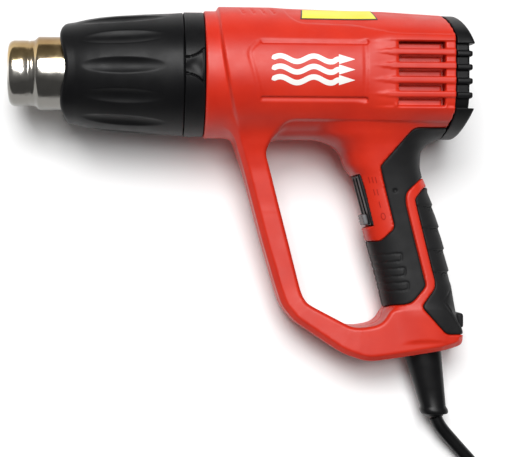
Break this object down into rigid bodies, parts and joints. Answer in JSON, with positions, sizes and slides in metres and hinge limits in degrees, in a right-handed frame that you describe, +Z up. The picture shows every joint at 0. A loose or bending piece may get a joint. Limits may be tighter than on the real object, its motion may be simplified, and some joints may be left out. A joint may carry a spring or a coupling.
{
  "type": "heat gun",
  "caption": "Hot-air gun with a closed loop handle, steel nozzle in a ribbed guard, slide switch, louvred rear and mains lead, lying on its side.",
  "frame": {"origin": "on the bench, under the middle of the gun's box without its free cord", "axes": "+X along the barrel from the nozzle to the rear cap, +Y from the handle up to the barrel, +Z up from the bench out of the gun's left side"},
  "size_m": [0.2734, 0.38, 0.0759],
  "materials": {
    "red_plastic": "moulded ABS with a fine satin grain",
    "black_plastic": "glass-filled nylon, satin",
    "black_rubber": "matte soft overmould",
    "bright_steel": "polished stainless steel with a heat tint",
    "dark_steel": "zinc-plated steel",
    "copper": "enamelled copper winding",
    "bronze": "sintered bronze",
    "magnet": "sintered ferrite",
    "mica": "mica sheet",
    "board_green": "circuit board",
    "label_yellow": "printed film",
    "white_plastic": "heat-resistant plastic",
    "brown_wire": "insulated wire",
    "blue_wire": "insulated wire"
  },
  "bodies": {
    "root": {"housing_left": "red_plastic", "housing_right": "red_plastic", "rear_cap": "black_plastic", "front_collar": "black_plastic", "fan_duct": "black_plastic", "motor_end_cap": "black_plastic", "switch_bezel": "black_plastic", "switch_body": "black_plastic", "cord_clamp": "black_plastic", "cord_tie": "black_plastic", "grip_pad_left": "black_rubber", "grip_pad_right": "black_rubber", "rear_pad_left": "black_rubber", "rear_pad_right": "black_rubber", "strain_relief": "black_rubber", "inner_lead": "black_rubber", "power_cord": "black_rubber", "cord_tail": "black_rubber", "cord_coil": "black_rubber", "plug_body": "black_rubber", "nozzle": "bright_steel", "motor_can": "bright_steel", "plug_pin_1": "bright_steel", "plug_pin_2": "bright_steel", "screw_1": "dark_steel", "screw_2": "dark_steel", "screw_3": "dark_steel", "screw_4": "dark_steel", "screw_5": "dark_steel", "screw_6": "dark_steel", "screw_7": "dark_steel", "screw_8": "dark_steel", "screw_9": "dark_steel", "clamp_screw_1": "dark_steel", "clamp_screw_2": "dark_steel", "heating_wire": "dark_steel", "bush_front": "bronze", "bush_rear": "bronze", "magnet_ring": "magnet", "mica_tube": "mica", "heater_core": "mica", "heater_base": "mica", "rectifier_board": "board_green", "top_label": "label_yellow", "terminal_block": "white_plastic", "thermal_cutout": "white_plastic", "wire_live": "brown_wire", "wire_motor": "brown_wire", "wire_neutral": "blue_wire"},
    "rotor": {"motor_shaft": "bright_steel", "armature": "copper", "fan_wheel": "black_plastic"},
    "slider": {"switch_slider": "black_plastic"},
    "guard": {"heat_guard": "black_plastic"}
  },
  "joints": [
    {"name": "fan_spin", "type": "hinge", "parent": "root", "child": "rotor", "pos_m": [0, 0.0738, 0.03794], "axis": [1, 0, 0], "continuous": true},
    {"name": "switch_slide", "type": "slide", "parent": "root", "child": "slider", "axis": [-0.264, 0.956, 0.1277], "range_m": [0, 0.0205]},
    {"name": "guard_twist", "type": "hinge", "parent": "root", "child": "guard", "pos_m": [0, 0.0738, 0.03794], "axis": [1, 0, 0], "range_deg": [0, 20]}
  ]
}
